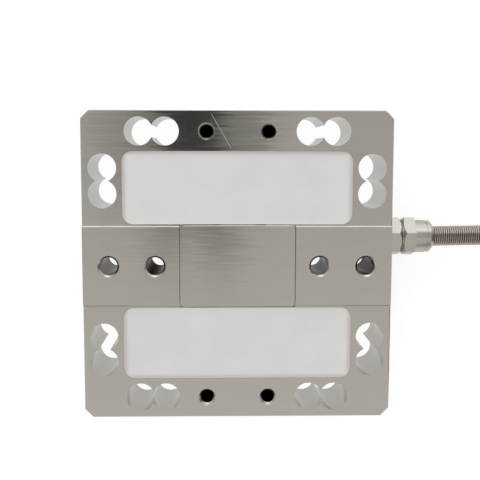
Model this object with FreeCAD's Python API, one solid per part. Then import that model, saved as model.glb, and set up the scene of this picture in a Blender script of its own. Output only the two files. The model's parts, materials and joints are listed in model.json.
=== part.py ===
import FreeCAD, Part
import math
import os

from FreeCAD import Rotation, Vector

# A plate-shaped multi-axis force sensor with its cable.
# Millimetres. +Z points out of the front face, the cable leaves towards +X,
# and the origin is the middle of the back face, on which the sensor lies.

# Block
block_side = 120.0
block_thickness = 30.0
pad_raise = 0.5
corner_chamfer = 3.2
edge_break = 0.3

# Band across the middle, with its raised pads, and the two windows beside it
band_half = 16.3
window_radius = 4.2
window_wall = 15.5
pad_ledge = 0.55
pad_bevel = 0.45

# Flexures: pairs of bores that meet, between the outside and a window
bore_d = 11.0
bore_pitch = 10.0
bore_wall = 2.5
bore_from_middle = 28.0

# Tapped holes for the load, on the line of the bores
load_hole_d = 5.0
load_hole_mouth = 6.5
load_hole_depth = 14.0
load_hole_from_middle = 12.0
drill_point = 118.0

# Through holes for the base, on the band
base_hole_d = 7.0
base_hole_mouth = 8.4
base_hole_places = (32.0, 50.0)
cut_over = 1.0

# Cover plate of the terminal pocket, let into a channel across the band
cover_width = 45.0
cover_thickness = 2.2
cover_below_pads = 0.2
cover_from_window = 0.4
cover_gap = 0.12
cover_radius = 1.8
cover_bevel = 0.2
pocket_length = 38.0
pocket_width = 26.0
pocket_radius = 3.0
notch_width = 4.0
notch_drop = 7.0

# Terminal board and its trimming resistors
board_from_wall = 2.0
board_thickness = 1.6
resistor_size = (3.2, 1.6, 0.9)
resistor_count = 6
resistor_from_end = 2.9
resistor_edge = 0.8

# Strain gauges and solder terminals on the window walls
carrier_thickness = 0.1
foil_thickness = 0.05
bending_carrier = (4.4, 4.0)
bending_grid = (2.4, 2.2)
shear_carrier = (4.0, 6.5)
shear_grid = 2.4
terminal_size = (10.0, 0.8, 3.0)
terminal_pad = (1.4, 0.3, 1.8)
terminal_pads = 4
terminal_lift = 7.5
ribbon_thickness = 0.6
ribbon_width = 3.0
ribbon_gap = 0.05
ribbon_x = 9.0
ribbon_drop_from_middle = 5.0
ribbon_fold = 4.0

# Silicone that fills the windows, below the frame's faces
potting_recess = 0.7

# Cable gland, in a tapped hole between the through holes and the upper window
gland_y = 10.3
gland_thread_d = 8.0
gland_thread_length = 8.5
gland_thread_room = 0.5
passage_d = 5.0
hex_across_flats = 14.0
hex_turn = 14.0
hex_bevel_length = 1.5
hex_bevel_land = 0.4
gland_hex_length = 6.1
gland_neck = 0.6
nut_thread_d = 12.0
nut_thread_length = 7.4
gasket_thickness = 1.0
gasket_width = 1.2
gasket_middle_d = 10.0
chamber_d = 10.1
slip = 0.05
cable_play = 0.1
seal_length = 5.0
claw_wall = 0.5
claw_slots = 4
claw_slot = 1.0
claw_flange = 1.0
nut_hex_length = 4.6
nut_bevel_length = 0.8
nut_round_d = 13.1
nut_round_length = 4.5
nut_length = 12.5
nut_groove = 0.5
nut_shoulder_length = 1.3
nut_shoulder_drop = 0.25
nut_dome_drop = 2.1
nut_lip = 1.6
nut_mouth_d = 8.2
nut_seat_d = 10.6

# Spring sleeve, close wound, a little out of line with the gland
spring_d = 7.9
spring_wire = 0.87
spring_end_x = 115.0
spring_tilt = 1.0
spring_flare_d = 10.2
spring_flare_length = 1.9
spring_play = 0.15
spring_on_cable = 0.15

# Cable: three metres, the stretch near the sensor and the coil
cable_d = 5.8
core_d = 4.4
jacket_start_x = 55.0
core_end_x = -4.0
lead_bend_past_nut = 0.8
spring_exit_x = 121.0
coil_start_y = 11.6
arc_share = 0.45
coil_centre_x = 172.0
coil_middle_d = 67.8
coil_turns = 13.5
coil_rows = 4
coil_room = 0.1
gate_past_spring = 20.0
tail_length = 25.5
tail_rise = 4.1

# Plug on the cable's end
boot_length = 14.0
boot_thin_d = 7.2
boot_thick_d = 9.6
boot_steps = 2
plug_shell_d = 11.0
plug_shell_length = 10.0
plug_ring_d = 13.0
plug_ring_length = 12.0
plug_ring_wall = 1.0
plug_neck_step = 0.4
plug_ring_grips = 16
plug_grip_depth = 0.4
plug_insert_length = 3.0
plug_pin_d = 0.8
plug_pin_length = 5.0
plug_pin_sink = 2.0
plug_pin_counts = (1, 6, 12)
plug_pin_radii = (0.0, 2.1, 4.2)

half = block_side / 2
front = block_thickness - pad_raise
back = pad_raise
middle = block_thickness / 2
window_x = half - window_wall
window_top = half - window_wall
bore_line = half - bore_wall - bore_d / 2
flexure_middle = bore_from_middle + bore_pitch / 2
cover_top = block_thickness - cover_below_pads
cover_floor = cover_top - cover_thickness
board_floor = middle - core_d / 2 - board_thickness
board_length = pocket_length - 2 * board_from_wall
board_width = pocket_width - 2 * board_from_wall
ribbon_off_wall = terminal_size[1] + terminal_pad[1] + ribbon_gap + ribbon_thickness / 2
gland_face = half
hex_end = gland_face + gland_hex_length
nut_start = hex_end + gland_neck
nut_end = nut_start + nut_length
stub_end = hex_end + nut_thread_length
coil_pitch = cable_d + coil_room / 2
coil_spread = coil_pitch * coil_turns / coil_rows
coil_outer_turn = (coil_middle_d + coil_spread) / 2
cable_floor = cable_d / 2 + coil_room
coil_top_z = cable_floor + (coil_rows - 1) * coil_pitch


def box(x, y, z):
    """A box between the low and high values along each axis."""
    return Part.makeBox(x[1] - x[0], y[1] - y[0], z[1] - z[0], Vector(x[0], y[0], z[0]))


def both(size):
    return (-size / 2, size / 2)


def upright_edges(shape):
    return [e for e in shape.Edges if abs(e.tangentAt(e.FirstParameter).z) > 0.99]


def level_edges(shape, z):
    return [e for e in shape.Edges if all(abs(v.Z - z) < 1e-6 for v in e.Vertexes)]


def rounded_box(x, y, z, radius):
    plain = box(x, y, z)
    return plain.makeFillet(radius, upright_edges(plain))


def upright_bore(x, y, d, z):
    return Part.makeCylinder(d / 2, z[1] - z[0], Vector(x, y, z[0]))


def mouth(x, y, d, wide, z, up):
    """The cone that breaks a bore's edge at height z, on a face that looks up or down."""
    depth = (wide - d) / 2
    return Part.makeCone(wide / 2, d / 2, depth, Vector(x, y, z), Vector(0, 0, -up))


def profile_along_x(points, x):
    """A prism of the outline points, (y, z), between two places along X."""
    corners = [Vector(x[0], y, z) for y, z in points]
    return Part.Face(Part.makePolygon(corners + corners[:1])).extrude(Vector(x[1] - x[0], 0, 0))


def turned(points, y=gland_y, z=middle):
    """A body turned about an axis along X, from its half section (x, radius)."""
    corners = [Vector(x, y + r, z) for x, r in points]
    section = Part.Face(Part.makePolygon(corners + corners[:1]))
    return section.revolve(Vector(0, y, z), Vector(1, 0, 0), 360)


def path_through(points):
    """Straight runs joined by tangent arcs. Gives the wire, its length and the arcs' radii."""
    edges, radii, start = [], [], points[0]
    for before, corner, after in zip(points, points[1:], points[2:]):
        inward, outward = corner - before, after - corner
        turn = inward.getAngle(outward)
        reach = arc_share * min(inward.Length, outward.Length)
        radii.append(reach / math.tan(turn / 2))
        first = corner - inward.normalize() * reach
        last = corner + outward.normalize() * reach
        toward = (first + last) * 0.5 - corner
        to_centre = math.hypot(reach, radii[-1])
        halfway = corner + toward.normalize() * (to_centre - radii[-1])
        edges.append(Part.LineSegment(start, first).toShape())
        edges.append(Part.Arc(first, halfway, last).toShape())
        start = last
    edges.append(Part.LineSegment(start, points[-1]).toShape())
    wire = Part.Wire(edges)
    return wire, wire.Length, radii


def tube(points, d):
    """A round bar along the path through the points."""
    wire, _, _ = path_through(points)
    section = Part.Wire(Part.makeCircle(d / 2, points[0], points[1] - points[0]))
    return wire.makePipeShell([section], True, False)


def pad_band(face, up):
    """The raised strip across the block, bevelled along both sides."""
    foot = band_half - pad_ledge
    top = foot - pad_bevel
    root = face - up
    crest = face + up * pad_raise
    outline = [(-foot, root), (foot, root), (foot, face), (top, crest), (-top, crest), (-foot, face)]
    return profile_along_x(outline, (-half, half))


def windows():
    z = (0, block_thickness)
    x = (-window_x, window_x)
    upper = rounded_box(x, (band_half, window_top), z, window_radius)
    lower = rounded_box(x, (-window_top, -band_half), z, window_radius)
    return upper, lower


def flexure_bores():
    """The eight pairs of bores that meet, through the block."""
    along = [s * (bore_from_middle + k * bore_pitch) for s in (-1, 1) for k in (0, 1)]
    centres = [(a, s * bore_line) for a in along for s in (-1, 1)]
    centres += [(y, x) for x, y in centres]
    return [upright_bore(x, y, bore_d, (0, block_thickness)) for x, y in centres]


def load_holes():
    """Blind tapped holes with a countersink and the drill's point at the bottom."""
    cuts = []
    point = load_hole_d / 2 / math.tan(math.radians(drill_point / 2))
    bottom = front - load_hole_depth
    for x in (-load_hole_from_middle, load_hole_from_middle):
        for y in (-bore_line, bore_line):
            cuts.append(upright_bore(x, y, load_hole_d, (bottom, front)))
            cuts.append(mouth(x, y, load_hole_d, load_hole_mouth, front, 1))
            tip = Part.makeCone(load_hole_d / 2, 0, point, Vector(x, y, bottom), Vector(0, 0, -1))
            cuts.append(tip)
    return cuts


def base_holes():
    cuts = []
    for x in [s * place for place in base_hole_places for s in (-1, 1)]:
        cuts.append(upright_bore(x, 0, base_hole_d, (0, block_thickness)))
        cuts.append(mouth(x, 0, base_hole_d, base_hole_mouth, block_thickness, 1))
    return cuts


def terminal_space():
    """The cover's channel, the pocket under it, and the notches for the wires."""
    channel_x = both(cover_width + 2 * cover_gap)
    channel_z = (cover_floor, block_thickness + cut_over)
    channel = box(channel_x, both(2 * band_half + cut_over), channel_z)
    pocket = rounded_box(both(pocket_length), both(pocket_width), (board_floor, cover_floor), pocket_radius)
    cuts = [channel, pocket]
    notch_z = (cover_floor - notch_drop, cover_floor)
    for x in (-ribbon_x, ribbon_x):
        cuts.append(box((x - notch_width / 2, x + notch_width / 2), both(2 * band_half), notch_z))
    return cuts


def cable_entry():
    """The tapped hole for the gland and the passage from it to the pocket."""
    depth = gland_thread_length + gland_thread_room
    along = Vector(-1, 0, 0)
    thread = Part.makeCylinder(gland_thread_d / 2, depth, Vector(half, gland_y, middle), along)
    reach = half - pocket_length / 2 + pocket_radius
    passage = Part.makeCylinder(passage_d / 2, reach, Vector(half, gland_y, middle), along)
    return [thread, passage]


def sensor_body():
    """The one-piece spring body: frame, flexures, band and pads."""
    frame = box(both(block_side), both(block_side), (back, front))
    frame = frame.makeChamfer(corner_chamfer, upright_edges(frame))
    frame = frame.makeChamfer(edge_break, level_edges(frame, front) + level_edges(frame, back))
    body = frame.fuse([pad_band(front, 1), pad_band(back, -1)])
    cuts = list(windows()) + flexure_bores() + load_holes() + base_holes()
    cuts += terminal_space() + cable_entry()
    return body.cut(cuts).removeSplitter()


def terminal_cover():
    y = both(2 * (band_half - cover_from_window))
    plate = rounded_box(both(cover_width), y, (cover_floor, cover_top), cover_radius)
    return plate.makeChamfer(cover_bevel, level_edges(plate, cover_top))


# Places on the window walls. In a flexure's own frame X runs along its wall,
# Y points from the wall into the window, and Z is the block's.
flexures = {
    "top_left": (-flexure_middle, window_top, 180),
    "top_right": (flexure_middle, window_top, 180),
    "bottom_left": (-flexure_middle, -window_top, 0),
    "bottom_right": (flexure_middle, -window_top, 0),
    "left_upper": (-window_x, flexure_middle, -90),
    "left_lower": (-window_x, -flexure_middle, -90),
    "right_upper": (window_x, flexure_middle, 90),
    "right_lower": (window_x, -flexure_middle, 90),
}


def on_wall(shape, place):
    """A shape made in a flexure's own frame, put on its wall."""
    x, y, turn = place
    wall = FreeCAD.Placement(Vector(x, y, middle), Rotation(Vector(0, 0, 1), turn))
    shape.Placement = wall.multiply(shape.Placement)
    return shape


def bending_gauge(along):
    """A gauge over a bore, where the flexure's wall is thinnest."""
    length, height = bending_carrier
    sheet = box((along - length / 2, along + length / 2), (0, carrier_thickness), both(height))
    grid_x = (along - bending_grid[0] / 2, along + bending_grid[0] / 2)
    grid_y = (carrier_thickness, carrier_thickness + foil_thickness)
    return sheet.fuse(box(grid_x, grid_y, both(bending_grid[1])))


def shear_gauge():
    """A gauge over the neck between two bores, with its grid at 45 degrees."""
    sheet = box(both(shear_carrier[0]), (0, carrier_thickness), both(shear_carrier[1]))
    grid = box(both(shear_grid), (carrier_thickness, carrier_thickness + foil_thickness), both(shear_grid))
    grid.rotate(Vector(0, 0, 0), Vector(0, 1, 0), 45)
    return sheet.fuse(grid)


def terminals():
    """A strip of solder pads beside the gauges."""
    length, depth, height = terminal_size
    z = (terminal_lift - height / 2, terminal_lift + height / 2)
    strip = [box(both(length), (0, depth), z)]
    step = length / terminal_pads
    for k in range(terminal_pads):
        x = (k + 0.5) * step - length / 2
        pad_x = (x - terminal_pad[0] / 2, x + terminal_pad[0] / 2)
        pad_z = (terminal_lift - terminal_pad[2] / 2, terminal_lift + terminal_pad[2] / 2)
        strip.append(box(pad_x, (depth, depth + terminal_pad[1]), pad_z))
    return strip[0].fuse(strip[1:])


def strip_along(points, width, z):
    """A flat strip set on edge that follows the points in plan, mitred where it folds."""
    left, right = [], []
    for k, point in enumerate(points):
        before = (point - points[k - 1]).normalize() if k else (points[1] - point).normalize()
        after = (points[k + 1] - point).normalize() if k + 1 < len(points) else before
        side = Vector(-before.y - after.y, before.x + after.x, 0).normalize()
        reach = width / 2 / side.dot(Vector(-before.y, before.x, 0))
        left.append(point + side * reach)
        right.append(point - side * reach)
    outline = left + right[::-1]
    flat = Part.Face(Part.makePolygon(outline + outline[:1]))
    flat.translate(Vector(0, 0, z[0]))
    return flat.extrude(Vector(0, 0, z[1] - z[0]))


def ribbon(side, up):
    """A flat bundle of wires: past both flexures of a window's corner, over the band, down to the board."""
    wall_x = side * (window_x - ribbon_off_wall)
    wall_y = up * (window_top - ribbon_off_wall)
    leave_x = side * (flexure_middle - terminal_size[0])
    points = [
        Vector(wall_x, up * (flexure_middle - terminal_size[0] / 2), 0),
        Vector(wall_x, wall_y - up * ribbon_fold, 0),
        Vector(wall_x - side * ribbon_fold, wall_y, 0),
        Vector(leave_x, wall_y, 0),
        Vector(side * ribbon_x, up * flexure_middle, 0),
        Vector(side * ribbon_x, up * ribbon_drop_from_middle, 0),
    ]
    centre = middle + terminal_lift
    z = (centre - ribbon_width / 2, centre + ribbon_width / 2)
    board_top = board_floor + board_thickness
    drop_y = sorted(up * (ribbon_drop_from_middle + k * ribbon_width) for k in (0, 1))
    drop_x = (side * ribbon_x - ribbon_thickness / 2, side * ribbon_x + ribbon_thickness / 2)
    return strip_along(points, ribbon_thickness, z).fuse(box(drop_x, drop_y, (board_top, z[1])))


def terminal_board():
    z = (board_floor, board_floor + board_thickness)
    return box(both(board_length), both(board_width), z)


def trim_resistors():
    """A row of resistors along the board's lower edge, one for each bridge."""
    length, width, height = resistor_size
    y0 = -board_width / 2 + resistor_edge
    z = (board_floor + board_thickness, board_floor + board_thickness + height)
    first = (length - board_length) / 2 + resistor_from_end
    row = []
    for k in range(resistor_count):
        x = first - 2 * first * k / (resistor_count - 1)
        row.append(box((x - length / 2, x + length / 2), (y0, y0 + width), z))
    return Part.makeCompound(row)


def room_for(shape):
    """The upright box round a piece."""
    b = shape.BoundBox
    return box((b.XMin, b.XMax), (b.YMin, b.YMax), (b.ZMin, b.ZMax))


def potting(window, up, mounted, ribbons):
    """The silicone in one window, moulded round what is on the window's walls."""
    slab = box(both(block_side), both(block_side), (back + potting_recess, front - potting_recess))
    here = [s for s in mounted + ribbons if up * s.BoundBox.Center.y > band_half]
    return window.common(slab).cut([s if s in ribbons else room_for(s) for s in here])


def hexagon(x):
    """A hexagonal bar along the gland's axis, turned as the gland was tightened."""
    corner = hex_across_flats / math.sqrt(3)
    points = []
    for k in range(6):
        angle = math.radians(hex_turn + 60 * k)
        points.append((gland_y + corner * math.sin(angle), middle + corner * math.cos(angle)))
    return profile_along_x(points, x)


def gland_body():
    """Thread, hexagon with one bevelled end, and the stub that the nut screws on."""
    wide = hex_across_flats / math.sqrt(3)
    land = hex_across_flats / 2 - hex_bevel_land
    thread_start = gland_face - gland_thread_length
    thread_r = gland_thread_d / 2 - slip
    stub_r = nut_thread_d / 2 - slip
    hexed = hexagon((gland_face, hex_end)).common(turned([
        (gland_face, 0), (gland_face, wide), (hex_end - hex_bevel_length, wide), (hex_end, land),
        (hex_end, 0),
    ]))
    thread = turned([(thread_start, 0), (thread_start, thread_r), (gland_face, thread_r), (gland_face, 0)])
    stub = turned([(hex_end, 0), (hex_end, stub_r), (stub_end, stub_r), (stub_end, 0)])
    chamber = nut_start + gland_neck
    bore_r = cable_d / 2 + cable_play
    bore = turned([
        (thread_start, 0), (thread_start, bore_r), (chamber, bore_r), (chamber, chamber_d / 2),
        (stub_end, chamber_d / 2), (stub_end, 0),
    ])
    return hexed.fuse([thread, stub]).cut([bore, gland_gasket()])


def gland_gasket():
    """The flat ring in the hexagon's groove, pressed against the block."""
    inner = gasket_middle_d / 2 - gasket_width / 2
    outer = gasket_middle_d / 2 + gasket_width / 2
    end = gland_face + gasket_thickness
    return turned([(gland_face, inner), (gland_face, outer), (end, outer), (end, inner)])


def gland_seal():
    """The rubber sleeve that the claw presses on the cable."""
    start = nut_start + gland_neck + slip
    inner = cable_d / 2 + slip
    outer = chamber_d / 2 - claw_wall - 2 * slip
    end = start + seal_length
    return turned([(start, inner), (start, outer), (end, outer), (end, inner)])


def gland_claw():
    """The slotted plastic cage round the seal, with a flange on the stub's end."""
    start = nut_start + gland_neck + slip
    inner = chamber_d / 2 - claw_wall - slip
    outer = chamber_d / 2 - slip
    rim = nut_thread_d / 2 - 2 * slip
    cage = turned([
        (start, inner), (start, outer), (stub_end, outer), (stub_end, rim),
        (stub_end + claw_flange, rim), (stub_end + claw_flange, inner),
    ])
    slots = []
    slot_z = (middle - claw_slot / 2, middle + claw_slot / 2)
    for k in range(claw_slots):
        slot = box((start, start + seal_length), (gland_y, gland_y + chamber_d), slot_z)
        slot.rotate(Vector(0, gland_y, middle), Vector(1, 0, 0), 360 / claw_slots * k)
        slots.append(slot)
    return cage.cut(slots)


def gland_nut():
    """The dome nut: a hexagon bevelled at its start, a round barrel, a groove and a domed end."""
    wide = hex_across_flats / math.sqrt(3)
    flat = hex_across_flats / 2
    bevel_end = nut_start + nut_bevel_length
    barrel_start = nut_start + nut_hex_length
    barrel_end = barrel_start + nut_round_length
    shoulder_start = barrel_end + nut_groove
    shoulder_end = shoulder_start + nut_shoulder_length
    r = nut_round_d / 2
    hexed = hexagon((nut_start, barrel_start)).common(turned([
        (nut_start, 0), (nut_start, flat), (bevel_end, wide), (barrel_start, wide), (barrel_start, 0),
    ]))
    dome = turned([
        (bevel_end, 0), (bevel_end, r), (barrel_end, r), (barrel_end, r - nut_groove),
        (shoulder_start, r - nut_groove), (shoulder_start, r - nut_shoulder_drop),
        (shoulder_end, r - nut_shoulder_drop), (nut_end, r - nut_dome_drop), (nut_end, 0),
    ])
    lip = nut_end - nut_lip
    seat = stub_end + claw_flange + slip
    bore = turned([
        (nut_start, 0), (nut_start, nut_thread_d / 2), (seat, nut_thread_d / 2), (seat, nut_seat_d / 2),
        (lip, nut_seat_d / 2), (lip, nut_mouth_d / 2), (nut_end, nut_mouth_d / 2), (nut_end, 0),
    ])
    return hexed.fuse(dome).cut(bore)


def spring_sleeve():
    """The close-wound spring that guards the cable: its outer shape, and the flare held in the nut."""
    inner = cable_d / 2 + spring_on_cable
    outer = spring_d / 2
    lip = nut_end - nut_lip - spring_play
    start = lip - spring_flare_length
    end = lip + round((spring_end_x - lip) / spring_wire) * spring_wire
    sleeve = turned([
        (start, inner), (start, spring_flare_d / 2), (lip, spring_flare_d / 2), (lip, outer),
        (end, outer), (end, inner),
    ])
    sleeve.rotate(Vector(nut_end, gland_y, middle), Vector(0, 0, 1), spring_tilt)
    return sleeve


def along_spring(x):
    """The place on the spring's tilted axis at a distance along X."""
    return Vector(x, gland_y + (x - nut_end) * math.tan(math.radians(spring_tilt)), middle)


spring_exit = along_spring(spring_exit_x)
coil_start = Vector(coil_centre_x, coil_start_y, coil_top_z)
coil_centre_y = coil_start.y - coil_outer_turn
gate_share = gate_past_spring / (coil_start.x - spring_exit.x)
gate = spring_exit + (coil_start - spring_exit) * gate_share
lead_route = [
    Vector(jacket_start_x, gland_y, middle),
    Vector(nut_end + lead_bend_past_nut, gland_y, middle),
    spring_exit,
    gate,
]
tail_y = coil_centre_y - coil_outer_turn
tail_slope = math.tan(math.radians(tail_rise))
tail_start = Vector(coil_centre_x, tail_y, cable_floor)
tail_end = tail_start + Vector(-tail_length, 0, tail_length * tail_slope)


def cable_core():
    """The bare wires, from the end of the jacket to the terminal board."""
    start = Vector(core_end_x, gland_y, middle)
    return Part.makeCylinder(core_d / 2, jacket_start_x - core_end_x, start, Vector(1, 0, 0))


def straight_cable(start, end):
    return Part.makeCylinder(cable_d / 2, (end - start).Length, start, end - start)


def cable_coil():
    """The outer shape of the wound cable, four flat spirals on each other, and the cable in and out."""
    thick = (coil_spread + cable_d) / 2 + coil_room
    high = coil_top_z + cable_d / 2 + coil_room
    inner, outer = coil_middle_d / 2 - thick, coil_middle_d / 2 + thick
    outline = [(inner, 0), (outer, 0), (outer, high), (inner, high)]
    corners = [Vector(coil_centre_x + r, coil_centre_y, z) for r, z in outline]
    section = Part.Face(Part.makePolygon(corners + corners[:1]))
    ring = section.revolve(Vector(coil_centre_x, coil_centre_y, 0), Vector(0, 0, 1), 360)
    return ring.fuse([straight_cable(gate, coil_start), straight_cable(tail_start, tail_end)])


def on_plug(shape):
    """A shape made along +X from the origin, put in line with the cable's end."""
    turn = Rotation(Vector(0, 0, 1), 180).multiply(Rotation(Vector(0, 1, 0), -tail_rise))
    shape.Placement = FreeCAD.Placement(tail_end, turn)
    return shape


def plug_boot():
    """The rubber bend relief, thicker step by step towards the plug."""
    step = boot_length / boot_steps
    outline = [(0, 0)]
    for k in range(boot_steps):
        r = (boot_thin_d + (boot_thick_d - boot_thin_d) * k / (boot_steps - 1)) / 2
        outline += [(k * step, r), ((k + 1) * step, r)]
    outline.append((boot_length, 0))
    return on_plug(turned(outline, 0, 0))


def plug_shell():
    """The metal barrel behind the coupling ring, with its necked front."""
    r, end = plug_shell_d / 2, boot_length + plug_shell_length
    neck = plug_ring_d / 2 - plug_ring_wall - slip - plug_neck_step
    tip = plug_insert_face() - plug_insert_length
    outline = [(boot_length, 0), (boot_length, r), (end, r), (end, neck), (tip, neck), (tip, 0)]
    return on_plug(turned(outline, 0, 0))


def plug_ring():
    """The coupling ring, with grip flutes round its outside."""
    start = boot_length + plug_shell_length + slip
    end = boot_length + plug_shell_length + plug_ring_length
    r = plug_ring_d / 2
    crown = []
    for k in range(4 * plug_ring_grips):
        angle = 2 * math.pi * (k + 0.5) / 4 / plug_ring_grips
        reach = r - plug_grip_depth if k % 4 > 1 else r
        crown.append((reach * math.cos(angle), reach * math.sin(angle)))
    inside = Part.makeCylinder(r - plug_ring_wall, end - start, Vector(start, 0, 0), Vector(1, 0, 0))
    return on_plug(profile_along_x(crown, (start, end)).cut(inside))


def plug_end():
    """The middle of the coupling ring's open end."""
    along = Vector(-1, 0, tail_slope).normalize()
    return tail_end + along * (boot_length + plug_shell_length + plug_ring_length)


def plug_insert_face():
    return boot_length + plug_shell_length + plug_ring_length - plug_pin_length - plug_pin_sink


def plug_insert():
    """The insulator that carries the pins."""
    face = plug_insert_face()
    r = plug_ring_d / 2 - plug_ring_wall - slip
    start = face - plug_insert_length
    return on_plug(turned([(start, 0), (start, r), (face, r), (face, 0)], 0, 0))


def plug_pins():
    """The contact pins, eight-sided because they are this thin, inside the coupling ring."""
    face, r = plug_insert_face(), plug_pin_d / 2
    section = [(r * math.cos(k * math.pi / 4), r * math.sin(k * math.pi / 4)) for k in range(8)]
    pins = []
    for count, radius in zip(plug_pin_counts, plug_pin_radii):
        for k in range(count):
            pin = profile_along_x(section, (face, face + plug_pin_length))
            angle = 2 * math.pi * k / count
            pin.translate(Vector(0, radius * math.cos(angle), radius * math.sin(angle)))
            pins.append(pin)
    return on_plug(Part.makeCompound(pins))


def flexure_pieces():
    """Two bending gauges, a shear gauge and the terminals at each flexure."""
    pieces = {}
    for name, place in flexures.items():
        pieces[f"gauge_{name}_1"] = on_wall(bending_gauge(-bore_pitch / 2), place)
        pieces[f"gauge_{name}_2"] = on_wall(bending_gauge(bore_pitch / 2), place)
        pieces[f"gauge_{name}_shear"] = on_wall(shear_gauge(), place)
        pieces[f"terminals_{name}"] = on_wall(terminals(), place)
    return pieces


def all_pieces():
    pieces = {"sensor_body": sensor_body(), "terminal_cover": terminal_cover()}
    mounted = flexure_pieces()
    ribbons = {
        "ribbon_upper_left": ribbon(-1, 1),
        "ribbon_upper_right": ribbon(1, 1),
        "ribbon_lower_left": ribbon(-1, -1),
        "ribbon_lower_right": ribbon(1, -1),
    }
    pieces.update(mounted)
    pieces.update(ribbons)
    inner = (list(mounted.values()), list(ribbons.values()))
    upper, lower = windows()
    pieces["upper_potting"] = potting(upper, 1, *inner)
    pieces["lower_potting"] = potting(lower, -1, *inner)
    pieces["terminal_board"] = terminal_board()
    pieces["trim_resistors"] = trim_resistors()
    pieces["gland_body"] = gland_body()
    pieces["gland_gasket"] = gland_gasket()
    pieces["gland_seal"] = gland_seal()
    pieces["gland_claw"] = gland_claw()
    pieces["gland_nut"] = gland_nut()
    pieces["spring_sleeve"] = spring_sleeve()
    pieces["cable_core"] = cable_core()
    pieces["cable_lead"] = tube(lead_route, cable_d)
    pieces["cable_coil"] = cable_coil()
    pieces["plug_boot"] = plug_boot()
    pieces["plug_shell"] = plug_shell()
    pieces["plug_ring"] = plug_ring()
    pieces["plug_insert"] = plug_insert()
    pieces["plug_pins"] = plug_pins()
    return pieces


def report_cable(pieces):
    """Prints the arcs' radii and the lead's volume against its section times its length."""
    section = math.pi * (cable_d / 2) ** 2
    _, length, radii = path_through(lead_route)
    print("lead", round(length, 1), "mm, radii", [round(r) for r in radii])
    print("lead volume", round(pieces["cable_lead"].Volume), "section by length", round(section * length))
    lowest = min(shape.BoundBox.ZMin for shape in pieces.values())
    print("plug end", plug_end(), "lowest point", round(lowest, 3))


def main():
    os.makedirs("parts", exist_ok=True)
    pieces = all_pieces()
    for name, shape in pieces.items():
        shape.exportStep(f"parts/{name}.step")
        if not shape.isValid() or shape.Volume <= 0:
            print("not sound:", name)
    report_cable(pieces)
    print(len(pieces), "pieces, body volume", round(pieces["sensor_body"].Volume / 1000, 1), "cubic cm")


main()
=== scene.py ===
# %% [markdown]
# A plate-shaped force sensor is one block of steel with slots that let it bend a little.
# The shapes come from the CAD model, which this first step loads as a fixed frame in metres.
# What is left for Blender is the light, the finishes, the cable, the spring and the silicone.

# %% Load the model
import bpy
import json
import math
from mathutils import Matrix, Vector


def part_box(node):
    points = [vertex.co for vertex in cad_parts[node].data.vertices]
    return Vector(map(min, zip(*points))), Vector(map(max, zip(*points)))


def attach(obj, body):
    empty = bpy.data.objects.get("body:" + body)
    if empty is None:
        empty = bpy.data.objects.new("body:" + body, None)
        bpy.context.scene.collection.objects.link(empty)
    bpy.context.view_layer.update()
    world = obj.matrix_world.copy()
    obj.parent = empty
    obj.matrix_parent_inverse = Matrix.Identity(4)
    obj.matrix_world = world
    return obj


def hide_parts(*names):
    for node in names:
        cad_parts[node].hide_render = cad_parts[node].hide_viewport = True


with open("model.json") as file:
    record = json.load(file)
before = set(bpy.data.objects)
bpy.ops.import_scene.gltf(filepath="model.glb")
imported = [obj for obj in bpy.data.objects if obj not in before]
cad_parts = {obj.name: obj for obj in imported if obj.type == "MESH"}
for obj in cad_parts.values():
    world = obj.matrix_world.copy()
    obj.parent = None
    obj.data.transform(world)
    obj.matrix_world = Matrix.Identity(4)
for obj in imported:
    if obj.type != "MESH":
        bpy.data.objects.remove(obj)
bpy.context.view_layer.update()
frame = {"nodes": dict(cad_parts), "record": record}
nodes = frame["nodes"]
MM = 0.001

# %% [markdown]
# The camera looks almost straight down from about 35 cm above the table. It hangs over the upper part of the
# plate and leans back a little, so the walls of the lower bores show far more than those of the upper ones.
# Its place was found by fitting the block's outline and the light through the bores, so it is given as a
# place and three directions.

# %% Camera
camera_place = Vector((-0.006438, 0.044231, 0.345819))
camera_right = Vector((0.99973, 0.00187, 0.02303))
camera_up = Vector((0.00060, 0.99428, -0.10678))
camera_back = Vector((-0.02310, 0.10677, 0.99402))
camera_data = bpy.data.cameras.new("camera")
camera_data.sensor_width = 36.0
camera_data.lens = 61.67
camera = bpy.data.objects.new("camera", camera_data)
bpy.context.scene.collection.objects.link(camera)
turn = Matrix((camera_right, camera_up, camera_back)).transposed()
camera.matrix_world = Matrix.Translation(camera_place) @ turn.to_4x4()
bpy.context.scene.camera = camera
print("camera at", tuple(round(c, 3) for c in camera.location))

# %% [markdown]
# The cable is three metres of round, stiff jacket. It leaves the gland straight, because the spring holds
# it, and the length that nobody needs is wound in a neat coil on the table.
# A coil could be stacked rings, but a cable has to get from each ring to the next without passing through
# itself. Four flat spirals do that, inward and outward in turn, one diameter above each other.
# The points lie so close that a curve through them has no kinks.

# %% The cable's route
cable_diameter = 5.8 * MM
gland_mouth = (0.0792, 0.0103, 0.015)
straight_points = [
    (0.0550, 0.0103, 0.0150),
    (0.0800, 0.0103, 0.0150),
    (0.1210, 0.01103, 0.0150),
    (0.1410, 0.01126, 0.01718),
    (0.1720, 0.0116, 0.02055),
]
coil_turns = 13.5
coil_rows = 4
coil_pitch = 5.85 * MM
coil_spread = coil_pitch * coil_turns / coil_rows
coil_mean_diameter = 67.8 * MM
coil_outer = coil_mean_diameter / 2 + coil_spread / 2
lowest_row = 3.0 * MM
coil_top = lowest_row + (coil_rows - 1) * coil_pitch
coil_middle = Vector((0.1720, 0.0116 - coil_outer))
points_per_turn = 16
row_change = 0.18


def smooth(share):
    """0 to 1 with a soft start and a soft end."""
    share = min(max(share, 0.0), 1.0)
    return share * share * (3 - 2 * share)


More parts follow.
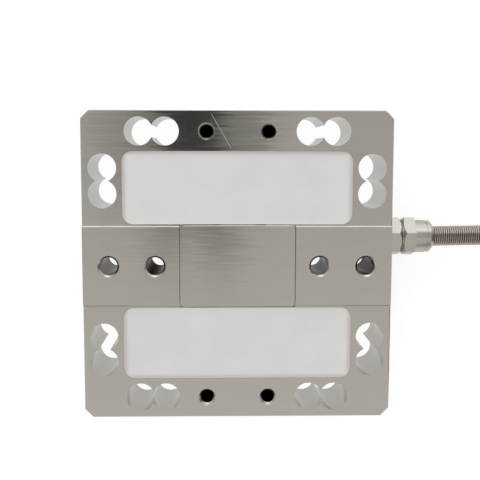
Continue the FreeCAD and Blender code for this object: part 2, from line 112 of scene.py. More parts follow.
def coil_point(turns):
    """The place on the coil after this many clockwise turns from the side nearest +Y."""
    turns_per_row = coil_turns / coil_rows
    phase = (turns / turns_per_row) % 2
    radius = coil_outer - coil_spread * (phase if phase < 1 else 2 - phase)
    radius /= math.cos(math.pi / points_per_turn)
    height = coil_top
    for change in range(1, coil_rows):
        height -= coil_pitch * smooth((turns - change * turns_per_row + row_change) / (2 * row_change))
    angle = math.pi / 2 - 2 * math.pi * turns
    return (coil_middle.x + radius * math.cos(angle), coil_middle.y + radius * math.sin(angle), height)


tail_y = coil_middle.y - coil_outer
tail_points = [(0.1650, tail_y, 0.0035), (0.1560, tail_y, 0.00415), (0.1465, tail_y, 0.00483)]
route = list(straight_points)
for count in range(1, int(coil_turns * points_per_turn) + 1):
    route.append(coil_point(count / points_per_turn))
route += tail_points
print("cable points:", len(route))

# %% [markdown]
# A jacket comes round out of its nozzle, so one circle swept along the route is all it needs. A chain of
# straight tubes would show a joint at every bend. The spline keeps its end points: it starts inside the
# block and ends in the boot of the plug.

# %% The cable as one round spline
cable_curve = bpy.data.curves.new("cable", "CURVE")
cable_curve.dimensions = "3D"
spline = cable_curve.splines.new("NURBS")
spline.points.add(len(route) - 1)
for point, place in zip(spline.points, route):
    point.co = (*place, 1.0)
spline.order_u = 3
spline.use_endpoint_u = True
cable_curve.resolution_u = 4
cable_curve.bevel_depth = cable_diameter / 2
cable_curve.bevel_resolution = 5
cable_curve.use_fill_caps = True
cable = bpy.data.objects.new("cable", cable_curve)
bpy.context.scene.collection.objects.link(cable)
print("cable made, diameter", round(cable_diameter / MM, 2), "mm")

# %% [markdown]
# A finish is a small net of nodes. Pictures of real steel could be wrapped round the model, but they blur
# when one comes close and need files. Patterns that are worked out stay sharp at every distance.
# One small function adds a node with its settings and links. Another turns a colour, written as on a paint
# card, into the linear light that a renderer works in.

# %% Helpers for finishes
def linear(code):
    """An sRGB hex colour as linear RGBA."""
    parts = [int(code[k:k + 2], 16) / 255 for k in (0, 2, 4)]
    return tuple(p / 12.92 if p <= 0.04045 else ((p + 0.055) / 1.055) ** 2.4 for p in parts) + (1.0,)


def add(tree, kind, inputs=None, **settings):
    """Adds a node, sets its settings, and fills its inputs with values or links."""
    node = tree.nodes.new(kind)
    for name, value in settings.items():
        setattr(node, name, value)
    for name, value in (inputs or {}).items():
        if isinstance(value, bpy.types.NodeSocket):
            tree.links.new(value, node.inputs[name])
        else:
            node.inputs[name].default_value = value
    return node


def start_material(name):
    """A new material with its shader, and the place on the piece in millimetres."""
    material = bpy.data.materials.new(name)
    material.use_nodes = True
    tree = material.node_tree
    place = add(tree, "ShaderNodeTexCoord").outputs["Object"]
    in_mm = add(tree, "ShaderNodeVectorMath", {0: place, "Scale": 1 / MM}, operation="SCALE").outputs[0]
    return material, tree, tree.nodes["Principled BSDF"], in_mm


def finish_skin(tree, shader, grain, light, dark, roughness, spread):
    """Colour and roughness that both follow one grain. A colour mix takes inputs 6 and 7, and gives 2."""
    colour = add(tree, "ShaderNodeMix", {0: grain, 6: linear(dark), 7: linear(light)},
                 data_type="RGBA").outputs[2]
    rough = add(tree, "ShaderNodeMapRange", {"Value": grain, "To Min": roughness - spread,
                                             "To Max": roughness + spread}).outputs[0]
    tree.links.new(colour, shader.inputs["Base Color"])
    tree.links.new(rough, shader.inputs["Roughness"])
    return colour, rough


print("helpers:", [helper.__name__ for helper in (linear, add, start_material, finish_skin)])

# %% [markdown]
# The block is taken to be stainless steel, milled and then ground. A grinding wheel leaves straight lines,
# here along X. Along the lines a reflection stays sharp, across them it is drawn out, so a dark thing above
# the plate shows as an upright band. A height map could carry the lines, but it tilts the steel only across
# them. Real strokes also rise and sink along their length, which frays the band's edge, so here the strokes
# tilt the surface itself in both directions. Real lines are far finer than a pixel and could not be seen:
# they are drawn 0.35 mm apart, and the strokes 0.75 mm.

# %% Ground steel
line_apart, line_length = 0.35, 12.0
stroke_apart, stroke_length = 0.75, 18.0
stroke_tilt = (0.075, 0.045, 0.0)
ground_roughness, ground_spread, drawn_out = 0.13, 0.03, 0.75
cloud_scale, grain_low, grain_high = 0.06, -0.2, 1.2


def grinding(tree, in_mm, apart, length):
    """Short lines along X: this far apart, and about this long."""
    run = add(tree, "ShaderNodeVectorMath", {0: in_mm, 1: (1 / length, 1 / apart, 1 / apart)},
              operation="MULTIPLY").outputs[0]
    return add(tree, "ShaderNodeTexNoise", {"Vector": run, "Scale": 1.0, "Detail": 3.0}).outputs


def ground_metal(name, light, dark):
    """Ground steel, with everything that a further mark on it needs."""
    material, tree, shader, in_mm = start_material(name)
    fine = grinding(tree, in_mm, line_apart, line_length)["Fac"]
    stroke = grinding(tree, in_mm, stroke_apart, stroke_length)["Color"]
    cloud = add(tree, "ShaderNodeTexNoise", {"Vector": in_mm, "Scale": cloud_scale,
                                             "Detail": 2.0}).outputs["Fac"]
    both = add(tree, "ShaderNodeMath", {0: fine, 1: cloud}, operation="ADD").outputs[0]
    grain = add(tree, "ShaderNodeMapRange", {"Value": both, "To Min": grain_low,
                                             "To Max": grain_high}).outputs[0]
    colour, rough = finish_skin(tree, shader, grain, light, dark, ground_roughness, ground_spread)
    shader.inputs["Metallic"].default_value = 1.0
    shader.inputs["Anisotropic"].default_value = drawn_out
    tree.links.new(add(tree, "ShaderNodeCombineXYZ", {"Y": 1.0}).outputs[0], shader.inputs["Tangent"])
    middle = add(tree, "ShaderNodeVectorMath", {0: stroke, 1: (0.5, 0.5, 0.5)},
                 operation="SUBTRACT").outputs[0]
    normal = add(tree, "ShaderNodeNewGeometry").outputs["Normal"]
    tilted = add(tree, "ShaderNodeVectorMath", {0: middle, 1: stroke_tilt, 2: normal},
                 operation="MULTIPLY_ADD").outputs[0]
    facing = add(tree, "ShaderNodeVectorMath", {0: tilted}, operation="NORMALIZE").outputs[0]
    tree.links.new(facing, shader.inputs["Normal"])
    return material, tree, shader, in_mm, colour, rough


# Gives the eye: cool, satin steel with fine level lines, and soft upright bands where it mirrors something.
block_steel = ground_metal("ground_steel", "C4C0B8", "B0ACA4")
# Gives the eye: the same satin steel a touch warmer, so that the cover reads as a piece of its own.
cover_steel = ground_metal("fine_ground_steel", "C5C0B6", "B2ADA3")[0]
print("ground steel: lines", line_apart, "mm, strokes", stroke_apart, "mm apart")

# %% [markdown]
# Three things mark the block's steel. Two scratches cross the ground lines, one long and one short. The walls
# of the four base holes get painted shade, each wall its own darkness, and their mirroring at grazing angles
# is darkened too. The four tapped holes get painted shade that makes them black. All could be cut or painted
# as shapes, but they have no depth to speak of, so each is a zone of the surface, given by its limits in
# millimetres.

# %% Scratches, base holes and tapped holes
front_face = (29.3, 30.1)
scratches = [((-10.1, 58.5), (-2.5, 45.5), 0.22, 0.5), ((40.4, 47.3), (43.6, 45.8), 0.16, 0.2)]
torn_roughness = 0.5
# Each base hole's X, and how dark the painted shade on its wall is. Its zone reaches this far in X and in Y,
# over these heights.
hole_wall_shade = [(-50, 0.52), (-32, 0.92), (32, 0.60), (50, 0.66)]
zone_x, zone_y, zone_height = 5.0, 4.2, (0.4, 29.2)
tapped_hole, tapped_reach, tapped_height = (12.0, 52.0, 0.0), 2.7, (-1.0, 28.7)


def within(tree, limits):
    """1 where every one of these values lies between its two limits, 0 elsewhere."""
    share = 1.0
    for value, low, high in limits:
        here = add(tree, "ShaderNodeMath", {0: value, 1: (low + high) / 2, 2: (high - low) / 2},
                   operation="COMPARE").outputs[0]
        share = add(tree, "ShaderNodeMath", {0: share, 1: here}, operation="MULTIPLY").outputs[0]
    return share


def scratched(tree, in_mm, start, end, width, strength):
    """A straight scratch in the front face, in a frame of its own that starts at its first point."""
    run = Vector(end) - Vector(start)
    turned = (0, 0, math.atan2(run.y, run.x))
    own = add(tree, "ShaderNodeMapping", {"Vector": in_mm, "Location": (*start, 0.0), "Rotation": turned},
              vector_type="TEXTURE").outputs[0]
    along, across, height = add(tree, "ShaderNodeSeparateXYZ", {0: own}).outputs
    line = within(tree, [(along, 0, run.length), (across, -width / 2, width / 2), (height, *front_face)])
    return add(tree, "ShaderNodeMath", {0: line, 1: strength}, operation="MULTIPLY").outputs[0]


ground_steel, tree, shader, in_mm, colour, rough = block_steel
marks = 0.0
for scratch in scratches:
    marks = add(tree, "ShaderNodeMath", {0: marks, 1: scratched(tree, in_mm, *scratch)},
                operation="MAXIMUM").outputs[0]
# Gives the eye: a pale thread, because torn steel scatters light to all sides.
worn = add(tree, "ShaderNodeMix", {0: marks, 6: colour, 7: linear("F2F0EA")}, data_type="RGBA").outputs[2]
torn = add(tree, "ShaderNodeMath", {0: marks, 1: torn_roughness, 2: rough},
           operation="MULTIPLY_ADD").outputs[0]
tree.links.new(torn, shader.inputs["Roughness"])

folded = add(tree, "ShaderNodeVectorMath", {0: in_mm}, operation="ABSOLUTE").outputs[0]
x, y, height = add(tree, "ShaderNodeSeparateXYZ", {0: folded}).outputs
side = add(tree, "ShaderNodeSeparateXYZ", {0: in_mm}).outputs["X"]
# Painted shade: deep holes, each with a wall of its own darkness.
hole_shade_share = 0.0
for hole_x, darkness in hole_wall_shade:
    hole_shade_zone = within(tree, [(side, hole_x - zone_x, hole_x + zone_x), (y, -zone_y, zone_y),
                            (height, *zone_height)])
    hole_shade_share = add(tree, "ShaderNodeMath", {0: hole_shade_zone, 1: darkness, 2: hole_shade_share},
                      operation="MULTIPLY_ADD").outputs[0]
# Painted shade: the base holes' walls are coloured darker.
hole_shaded = add(tree, "ShaderNodeMix", {0: hole_shade_share, 6: worn, 7: linear("3E3A34")},
            data_type="RGBA").outputs[2]
# A wall seen along its length mirrors nearly all light, so the painted shade darkens the tint at grazing
# angles too.
edge = add(tree, "ShaderNodeMix", {0: hole_shade_share, 6: linear("FFFFFF"), 7: linear("3E3A34")},
           data_type="RGBA").outputs[2]
tree.links.new(edge, shader.inputs["Specular Tint"])

from_hole = add(tree, "ShaderNodeVectorMath", {0: folded, 1: tapped_hole}, operation="SUBTRACT").outputs[0]
level = add(tree, "ShaderNodeVectorMath", {0: from_hole, 1: (1, 1, 0)}, operation="MULTIPLY").outputs[0]
distance = add(tree, "ShaderNodeVectorMath", {0: level}, operation="LENGTH").outputs["Value"]
in_hole = within(tree, [(distance, -tapped_reach, tapped_reach), (height, *tapped_height)])
# Painted shade: black holes with no bottom.
# Painted shade: the tapped holes are coloured near black.
tapped_shaded = add(tree, "ShaderNodeMix", {0: in_hole, 6: hole_shaded, 7: linear("1C1814")}, data_type="RGBA").outputs[2]
tree.links.new(tapped_shaded, shader.inputs["Base Color"])
print("block:", ground_steel.name, "with", len(scratches), "scratches")

# %% [markdown]
# The other metals are smooth. The gland is brass with dull nickel on it, the spring is bright drawn steel
# wire, the plug's contacts are gold plated. Real plate has a grain of hundredths of a millimetre: it is
# drawn as coarse as it needs to show. These metals differ only in colour, roughness and grain.

# %% Nickel, spring wire and gold
plain_spread, plain_depth = 0.04, 0.001 * MM


def plain_metal(name, light, dark, roughness, grain_mm):
    """A metal with an even, fine-grained surface."""
    material, tree, shader, in_mm = start_material(name)
    grain = add(tree, "ShaderNodeTexNoise", {"Vector": in_mm, "Scale": 1 / grain_mm,
                                             "Detail": 2.0}).outputs["Fac"]
    finish_skin(tree, shader, grain, light, dark, roughness, plain_spread)
    shader.inputs["Metallic"].default_value = 1.0
    bump = add(tree, "ShaderNodeBump", {"Height": grain, "Distance": plain_depth}).outputs[0]
    tree.links.new(bump, shader.inputs["Normal"])
    return material


# Gives the eye: a milky, slightly warm shine, each facet of the hexagons in one tone.
nickel_plate = plain_metal("satin_nickel_plate", "C7C4BB", "BEBBB2", 0.28, 1.5)
# Gives the eye: bright wire, with a light and a dark half along the spring and every turn told apart.
spring_wire = plain_metal("drawn_spring_steel", "CAC1B9", "A79E96", 0.24, 0.3)
# Gives the eye: small yellow sparks deep in the plug.
gold_plate = plain_metal("gold_plate", "E2BE66", "C9A24C", 0.25, 0.5)
print("metals:", nickel_plate.name, spring_wire.name, gold_plate.name)

# %% [markdown]
# The windows are poured full of white silicone, which stays soft and lets light in a little way. At the walls
# it thins out to a skin, and it is painted darker and a little pink there: painted shade from the walls, with
# the warm steel behind tinting it. A second material could be put there, but the painted shade fades without
# an edge, so it is a share that falls with the distance from the wall.

# %% Poured silicone
window_reach_x, window_reach_y = 44.5, 44.5
rim_starts, rim_ends = 0.4, 2.2
cloud_apart, cloud_depth = 12.0, 0.10 * MM
poured_silicone, tree, shader, in_mm = start_material("poured_silicone")
cloud = add(tree, "ShaderNodeTexNoise", {"Vector": in_mm, "Scale": 1 / cloud_apart,
                                         "Detail": 2.0}).outputs["Fac"]
# Gives the eye: soft, pale grey-white without a hard highlight, with painted shade, dusky and a little pink,
# at the walls.
colour, rough = finish_skin(tree, shader, cloud, "E3E3E1", "D8D8D6", 0.50, 0.06)
folded = add(tree, "ShaderNodeVectorMath", {0: in_mm}, operation="ABSOLUTE").outputs[0]
x, y, _ = add(tree, "ShaderNodeSeparateXYZ", {0: folded}).outputs
to_side = add(tree, "ShaderNodeMath", {0: window_reach_x, 1: x}, operation="SUBTRACT").outputs[0]
to_top = add(tree, "ShaderNodeMath", {0: window_reach_y, 1: y}, operation="SUBTRACT").outputs[0]
nearest = add(tree, "ShaderNodeMath", {0: to_side, 1: to_top}, operation="MINIMUM").outputs[0]
rim = add(tree, "ShaderNodeMapRange", {"Value": nearest, "From Min": rim_starts, "From Max": rim_ends,
                                       "To Min": 1.0, "To Max": 0.0},
          interpolation_type="SMOOTHSTEP").outputs[0]
# Painted shade: the silicone is coloured darker and pinker towards the walls, with the steel's tint in it.
wall_shade_tint = add(tree, "ShaderNodeMix", {0: rim, 6: colour, 7: linear("CCC5C3")}, data_type="RGBA").outputs[2]
tree.links.new(wall_shade_tint, shader.inputs["Base Color"])
shader.inputs["Subsurface Weight"].default_value = 0.25
shader.inputs["Subsurface Radius"].default_value = (1.2 * MM, 1.1 * MM, 1.0 * MM)
bump = add(tree, "ShaderNodeBump", {"Height": cloud, "Distance": cloud_depth}).outputs[0]
tree.links.new(bump, shader.inputs["Normal"])
print("silicone rim:", rim_starts, "to", rim_ends, "mm from the wall")

# %% [markdown]
# Rubber, plastics, board and foils come out of moulds, ovens and presses. What tells them apart is colour,
# how dull they are, and how fine their skin is. One description fits all, with these three as values.

# %% Moulded and coated finishes
moulded_spread = 0.06


def moulded(name, light, dark, roughness, grain_mm, depth_mm):
    """A surface that is no metal, with a fine skin."""
    material, tree, shader, in_mm = start_material(name)
    skin = add(tree, "ShaderNodeTexNoise", {"Vector": in_mm, "Scale": 1 / grain_mm,
                                            "Detail": 2.0}).outputs["Fac"]
    finish_skin(tree, shader, skin, light, dark, roughness, moulded_spread)
    bump = add(tree, "ShaderNodeBump", {"Height": skin, "Distance": depth_mm * MM}).outputs[0]
    tree.links.new(bump, shader.inputs["Normal"])
    return material


# Gives the eye: dull and nearly black, so that the gland's seal reads as soft.
nitrile_rubber = moulded("nitrile_rubber", "222222", "181818", 0.60, 0.4, 0.01)
# Gives the eye: a black cable with a broad, weak sheen along its top.
polyurethane_jacket = moulded("polyurethane_jacket", "252527", "1A1A1C", 0.50, 0.5, 0.01)
# Gives the eye: hard black plastic, a little shinier than the rubber.
black_polyamide = moulded("black_polyamide", "2A2A2C", "202022", 0.48, 0.5, 0.01)
# Gives the eye: green lacquer over copper, glossy enough to show it is wet-painted.
solder_mask = moulded("solder_mask_board", "2B6A45", "1F5436", 0.40, 1.5, 0.01)
# Gives the eye: small dark bricks on the board.
fired_ceramic = moulded("fired_ceramic", "2A2A2D", "1D1D20", 0.45, 0.6, 0.01)
# Gives the eye: copper colour under clear enamel.
enamelled_wire = moulded("enamelled_wire", "A4623F", "8A4C30", 0.35, 0.5, 0.01)
# Gives the eye: clear amber film, the smoothest thing inside.
polyimide_foil = moulded("polyimide_foil", "D69A3E", "C08830", 0.30, 1.0, 0.002)
# Gives the eye: pale solder on copper, duller than the foil.
copper_clad = moulded("copper_clad_strip", "C8B070", "B09858", 0.38, 0.8, 0.004)
print("moulded and coated finishes ready")

# %% [markdown]
# Every piece of the model carries a slot, a plain word for what it is made of. Each slot gets one finish.
# The pieces could be dressed one by one, but a table of slots can't forget any.

# %% Dress the model
finishes = {
    "machined_steel": ground_steel, "cover_steel": cover_steel, "nickel_plated_brass": nickel_plate,
    "spring_steel": spring_wire, "gold_contact": gold_plate, "white_silicone": poured_silicone,
    "black_rubber": nitrile_rubber, "cable_jacket": polyurethane_jacket, "polyamide": black_polyamide,
    "circuit_board": solder_mask, "resistor_ceramic": fired_ceramic, "wire_insulation": enamelled_wire,
    "gauge_foil": polyimide_foil, "terminal_strip": copper_clad,
}
for subpart in frame["record"]["subparts"]:
    piece = nodes[subpart["node"]]
    piece.data.materials.clear()
    piece.data.materials.append(finishes[subpart["material_slot"]])
cable_curve.materials.append(polyurethane_jacket)

# %% [markdown]
# The spring over the cable is close wound: each turn of 0.87 mm wire lies against the next, and its first
# turns widen into a flare that the gland's nut holds. A ribbed tube would look alike from far away, but it
# has no lead and no flare. Geometry Nodes have a spiral curve for this: one for the straight part, a short
# one for the flare, and a round wire on both.

# %% A tree that winds a spring
points_per_round, wire_sides = 28, 8


def spring_tree(material):
    """The tree, and the identifier of each size that it asks for."""
    tree = bpy.data.node_groups.new("close_wound_spring", "GeometryNodeTree")
    tree.interface.new_socket("Geometry", in_out="OUTPUT", socket_type="NodeSocketGeometry")
    sizes = {}
    for name in ("Turns", "Radius", "Pitch", "Wire", "Flare Turns", "Flare Radius"):
        socket = tree.interface.new_socket(name, in_out="INPUT", socket_type="NodeSocketFloat")
        sizes[name] = socket.identifier
    given = add(tree, "NodeGroupInput").outputs
    wire_radius = add(tree, "ShaderNodeMath", {0: given["Wire"], 1: 0.5}, operation="MULTIPLY").outputs[0]
    ring = add(tree, "GeometryNodeCurvePrimitiveCircle", {"Resolution": wire_sides,
                                                          "Radius": wire_radius}).outputs[0]
    height = add(tree, "ShaderNodeMath", {0: given["Turns"], 1: given["Pitch"]},
                 operation="MULTIPLY").outputs[0]
    flare_height = add(tree, "ShaderNodeMath", {0: given["Flare Turns"], 1: given["Pitch"]},
                       operation="MULTIPLY").outputs[0]
    body = add(tree, "GeometryNodeCurveSpiral", {
        "Resolution": points_per_round, "Rotations": given["Turns"],
        "Start Radius": given["Radius"], "End Radius": given["Radius"],
        "Height": height}).outputs[0]
    flare = add(tree, "GeometryNodeCurveSpiral", {
        "Resolution": points_per_round, "Rotations": given["Flare Turns"],
        "Start Radius": given["Flare Radius"], "End Radius": given["Radius"],
        "Height": flare_height}).outputs[0]
    down = add(tree, "ShaderNodeMath", {0: flare_height, 1: -1.0}, operation="MULTIPLY").outputs[0]
    drop = add(tree, "ShaderNodeCombineXYZ", {"Z": down}).outputs[0]
    lowered = add(tree, "GeometryNodeTransform", {"Geometry": flare, "Translation": drop}).outputs[0]
    joined = tree.nodes.new("GeometryNodeJoinGeometry")
    tree.links.new(body, joined.inputs[0])
    tree.links.new(lowered, joined.inputs[0])
    wound = add(tree, "GeometryNodeCurveToMesh", {
        "Curve": joined.outputs[0], "Profile Curve": ring, "Fill Caps": True}).outputs[0]
    shaded = add(tree, "GeometryNodeSetShadeSmooth", {"Geometry": wound}).outputs[0]
    real = add(tree, "GeometryNodeRealizeInstances", {"Geometry": shaded}).outputs[0]
    dressed = add(tree, "GeometryNodeSetMaterial", {"Geometry": real, "Material": material}).outputs[0]
    output = tree.nodes.new("NodeGroupOutput")
    tree.links.new(dressed, output.inputs[0])
    return tree, sizes


def grown(name, tree, values, place):
    """Runs a tree on an empty mesh and returns the plain mesh that it makes, put in its place."""
    carrier = bpy.data.objects.new(name + "_carrier", bpy.data.meshes.new(name + "_carrier"))
    bpy.context.scene.collection.objects.link(carrier)
    modifier = carrier.modifiers.new("tree", "NODES")
    modifier.node_group = tree
    for identifier, value in values.items():
        modifier[identifier] = value
    ready = carrier.evaluated_get(bpy.context.evaluated_depsgraph_get())
    mesh = bpy.data.meshes.new_from_object(ready)
    carrier.modifiers.clear()
    bpy.data.objects.remove(carrier)
    mesh.name = name
    mesh.transform(place)
    piece = bpy.data.objects.new(name, mesh)
    bpy.context.scene.collection.objects.link(piece)
    return piece


print("spring tree ready")

# %% [markdown]
# The spring is as thick as the nut's mouth allows, and its flare sits behind that mouth. In the photograph
# it leans a degree off the block's axis. It is wound along Z, because a spiral is, then laid along X and
# turned about the middle of the mouth, so that the nut still holds it.

# %% Wind the spring
spring_low, spring_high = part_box("spring_sleeve")
nut_end = Vector(gland_mouth)
spring_tilt = math.radians(1.0)
wire = 0.87 * MM
spring_radius = 8.15 * MM / 2 - wire / 2
flare_turns = 1.5
flare_radius = 10.2 * MM / 2 - wire / 2
flare_depth = 1.9 * MM
lip = spring_low[0] + flare_depth
turn_count = (spring_high[0] - lip - wire) / wire
tree, sizes = spring_tree(spring_wire)
along_x = Matrix.Rotation(math.pi / 2, 4, "Y")
tilted = Matrix.Translation(nut_end) @ Matrix.Rotation(spring_tilt, 4, "Z") @ Matrix.Translation(-nut_end)
lie = tilted @ Matrix.Translation((lip + wire / 2, nut_end.y, nut_end.z)) @ along_x
spring = grown("spring_turns", tree, {
    sizes["Turns"]: turn_count, sizes["Radius"]: spring_radius, sizes["Pitch"]: wire, sizes["Wire"]: wire,
    sizes["Flare Turns"]: flare_turns, sizes["Flare Radius"]: flare_radius}, lie)
print("spring:", round(turn_count, 1), "turns,", len(spring.data.polygons), "faces")

# %% [markdown]
# The gauges sit on the walls of the two windows, and the windows are poured full of white silicone over
# them. It wets the steel, so it climbs a little at the walls and lies lower in the middle. Rings of points
# at growing distances from the wall give that curve exactly where it bends most.

# %% Pour the silicone
window_radius = 4.2 * MM
climb = 0.62 * MM
climb_reach = 1.1 * MM
ring_distances = [0.02, 0.2, 0.45, 0.8, 1.3, 2.0, 3.0, 4.6, 7.0, 10.0]
corner_points = 8
smallest_radius = 0.6 * MM


def ring_points(middle, half_x, half_y, distance, height):
    """A rounded rectangle this far inside the window's wall."""
    radius = max(window_radius - distance, smallest_radius)
    reach_x, reach_y = half_x - distance - radius, half_y - distance - radius
    points = []
    for sx, sy, start in ((1, 1, 0.0), (-1, 1, 0.5), (-1, -1, 1.0), (1, -1, 1.5)):
        for k in range(corner_points + 1):
            angle = math.pi * (start + 0.5 * k / corner_points)
            points.append((middle.x + sx * reach_x + radius * math.cos(angle),
                           middle.y + sy * reach_y + radius * math.sin(angle), height))
    return points


def poured(name, node):
    """A closed filling for one window, with a rim that climbs its walls on both faces."""
    low, high = (Vector(corner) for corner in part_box(node))
    middle, half_x, half_y = (low + high) / 2, (high.x - low.x) / 2, (high.y - low.y) / 2
    rings = []
    for face, sign in ((low.z, -1), (high.z, 1)):
        stack = []
        for distance in ring_distances:
            rise = climb * math.exp(-distance * MM / climb_reach)
            stack.append(ring_points(middle, half_x, half_y, distance * MM, face + sign * rise))
        rings += stack[::-1] if sign < 0 else stack
    count = len(rings[0])
    faces = [tuple(range(count))[::-1]]
    for ring in range(len(rings) - 1):
        for k in range(count):
            after = (k + 1) % count
            here, above = ring * count, (ring + 1) * count
            faces.append((here + k, here + after, above + after, above + k))
    faces.append(tuple((len(rings) - 1) * count + k for k in range(count)))
    mesh = bpy.data.meshes.new(name)
    mesh.from_pydata([point for ring in rings for point in ring], [], faces)
    mesh.materials.append(poured_silicone)
    for polygon in mesh.polygons:
        polygon.use_smooth = len(polygon.vertices) == 4
    piece = bpy.data.objects.new(name, mesh)
    bpy.context.scene.collection.objects.link(piece)
    return piece


silicone = {"upper_potting": poured("silicone_upper", "upper_potting"),
            "lower_potting": poured("silicone_lower", "lower_potting")}
print("silicone:", [piece.name for piece in silicone.values()])

# %% [markdown]
# The sensor lies on a white sheet. The floor is a real surface, so that the block's faint shadow falls on
# it, and the camera sees extra white in it, as an overexposed sheet looks. A floor that only glows would have
# no shadow. It lies a hair under the block, so that the two faces don't share one plane. Under the block the
# camera sees a little more white still: a real sheet lit from above wouldn't do so, but in the photograph
# the bores are as white as the paper beside the block.

# %% Floor
floor_reach, floor_drop = 3.0, 0.05 * MM
floor_shade, seen_glow, mirrored_glow = 0.30, 0.80, 0.60
shining_through, block_half = 0.14, 59.5
floor_corners = [(-1, -1), (1, -1), (1, 1), (-1, 1)]
floor_mesh = bpy.data.meshes.new("floor")
floor_mesh.from_pydata([(x * floor_reach, y * floor_reach, -floor_drop) for x, y in floor_corners],
                       [], [(0, 1, 2, 3)])
floor = bpy.data.objects.new("floor", floor_mesh)
bpy.context.scene.collection.objects.link(floor)
# Gives the eye: a blank white sheet with a faint shadow beside the block.
white_table, tree, shader, in_mm = start_material("white_table")
shader.inputs["Base Color"].default_value = (floor_shade, floor_shade, floor_shade, 1)
shader.inputs["Roughness"].default_value = 0.9
path = add(tree, "ShaderNodeLightPath").outputs
mirrored = add(tree, "ShaderNodeMath", {0: path["Is Glossy Ray"], 1: mirrored_glow},
               operation="MULTIPLY").outputs[0]
x, y, _ = add(tree, "ShaderNodeSeparateXYZ", {0: in_mm}).outputs
under_block = within(tree, [(x, -block_half, block_half), (y, -block_half, block_half)])
seen = add(tree, "ShaderNodeMath", {0: under_block, 1: shining_through, 2: seen_glow},
           operation="MULTIPLY_ADD").outputs[0]
glow = add(tree, "ShaderNodeMath", {0: path["Is Camera Ray"], 1: seen, 2: mirrored},
           operation="MULTIPLY_ADD").outputs[0]
tree.links.new(glow, shader.inputs["Emission Strength"])
shader.inputs["Emission Color"].default_value = (1, 1, 1, 1)
floor_mesh.materials.append(white_table)
print("floor:", 2 * floor_reach, "m wide,", round(floor_drop / MM, 2), "mm under the block")

# %% [markdown]
# Metal shows what stands around it. Here that is a pale room: dimmest right above the plate, brighter
# towards the reader, and brightest low down towards +Y, where a window makes the edges shine that face it.
# A wide lamp there lights the gland from above. Silicone has no mirror in it and needs light of its own: a
# ceiling lamp that reflections don't see.

# %% Light
room_brightness = [(-1.0, 0.64), (-0.35, 0.76), (0.10, 0.53), (0.45, 0.56),
                   (0.80, 0.78), (0.90, 0.78), (1.0, 1.90)]
brightest = 1.9
world = bpy.data.worlds.new("studio")
bpy.context.scene.world = world
world.use_nodes = True
tree = world.node_tree
background = tree.nodes["Background"]
# How far a direction leans towards +Y decides how bright the room is there.
direction = add(tree, "ShaderNodeTexCoord").outputs["Generated"]
towards = add(tree, "ShaderNodeSeparateXYZ", {0: direction}).outputs["Y"]
share = add(tree, "ShaderNodeMapRange", {"Value": towards, "From Min": -1.0, "From Max": 1.0}).outputs[0]
ramp = add(tree, "ShaderNodeValToRGB", {0: share})
for number, (lean, brightness) in enumerate(room_brightness):
    stops = ramp.color_ramp.elements
    stop = stops[number] if number < 2 else stops.new(1.0)
    stop.position = (lean + 1) / 2
    grey = brightness / brightest
    stop.color = (grey, grey, grey, 1)
room = add(tree, "ShaderNodeMath", {0: ramp.outputs[0], 1: brightest}, operation="MULTIPLY").outputs[0]
tree.links.new(room, background.inputs["Strength"])
background.inputs["Color"].default_value = (1.0, 0.995, 0.985, 1)


def soft_lamp(name, place, size, power, mirrored):
    """A large lamp that looks at the plate."""
    data = bpy.data.lights.new(name, "AREA")
    data.shape = "RECTANGLE"
    data.size, data.size_y = size
    data.energy = power
    lamp = bpy.data.objects.new(name, data)
    lamp.location = place
    lamp.rotation_mode = "QUATERNION"
    lamp.rotation_quaternion = (-lamp.location).to_track_quat("-Z", "Y")
    lamp.visible_glossy = mirrored
    bpy.context.scene.collection.objects.link(lamp)
    print("lamp:", name, power, "W")


soft_lamp("window_lamp", Vector((-0.10, 0.75, 0.65)), (1.4, 0.5), 1.8, True)
soft_lamp("ceiling_lamp", Vector((-0.15, 0.10, 0.90)), (1.0, 1.0), 1.6, False)
bpy.context.scene.view_settings.view_transform = "Standard"

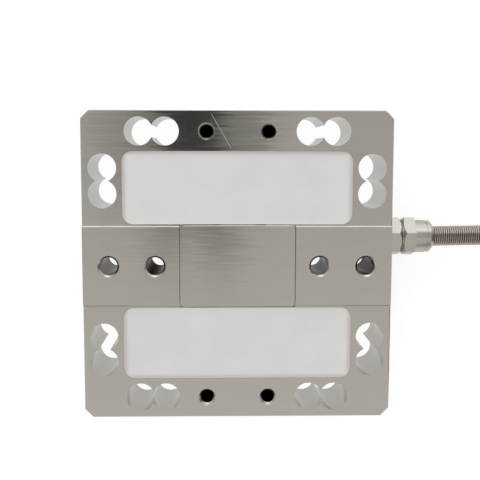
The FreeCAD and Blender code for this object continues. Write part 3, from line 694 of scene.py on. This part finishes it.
# %% [markdown]
# The dark place at the plate's upper edge is taken to be the photographer's own camera, mirrored in the
# steel, with a grey sleeve behind it that pales at its edge. Two fainter places further down are taken to be
# hands. The spring has a dark half too, from something unknown. Flat cards stand in for all of them.
# Painting the dark into the steel would look the same once, but it would stay when the plate is turned. Only
# reflections see the cards: they throw no shadow.

# %% What the plate mirrors
def card(name, x, y, z, brightness):
    """A flat card above the plate that only reflections see."""
    mesh = bpy.data.meshes.new(name)
    corners = [(x[0], y[0]), (x[1], y[0]), (x[1], y[1]), (x[0], y[1])]
    mesh.from_pydata([(across, up, z) for across, up in corners], [], [(0, 1, 2, 3)])
    # Gives the eye: nothing by itself, only a darker place in what the metal mirrors.
    material = bpy.data.materials.new(name)
    material.use_nodes = True
    shader = material.node_tree.nodes["Principled BSDF"]
    shader.inputs["Base Color"].default_value = (0, 0, 0, 1)
    shader.inputs["Emission Color"].default_value = (1, 0.98, 0.95, 1)
    shader.inputs["Emission Strength"].default_value = brightness
    mesh.materials.append(material)
    piece = bpy.data.objects.new(name, mesh)
    bpy.context.scene.collection.objects.link(piece)
    piece.visible_camera = piece.visible_diffuse = piece.visible_shadow = piece.visible_transmission = False
    print("card:", name, "brightness", brightness)


card("camera_card", (-0.052, -0.005), (0.0, 0.45), camera_place.z, 0.0)
card("sleeve_card", (-0.080, 0.030), (0.002, 0.50), camera_place.z + 0.02, 0.30)
card("sleeve_edge_card", (-0.106, -0.080), (0.002, 0.50), camera_place.z + 0.02, 0.43)
card("left_hand_card", (-0.064, -0.038), (-0.042, -0.004), camera_place.z, 0.40)
card("right_hand_card", (-0.022, 0.008), (-0.042, -0.004), camera_place.z, 0.33)
card("spring_card", (0.097, 0.300), (-0.120, 0.042), 0.065, 0.02)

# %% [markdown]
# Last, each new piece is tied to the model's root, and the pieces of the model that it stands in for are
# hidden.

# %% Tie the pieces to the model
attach(cable, "root")
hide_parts("cable_lead", "cable_coil")
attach(spring, "root")
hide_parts("spring_sleeve")
for node, piece in silicone.items():
    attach(piece, "root")
    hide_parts(node)
print("pieces tied")
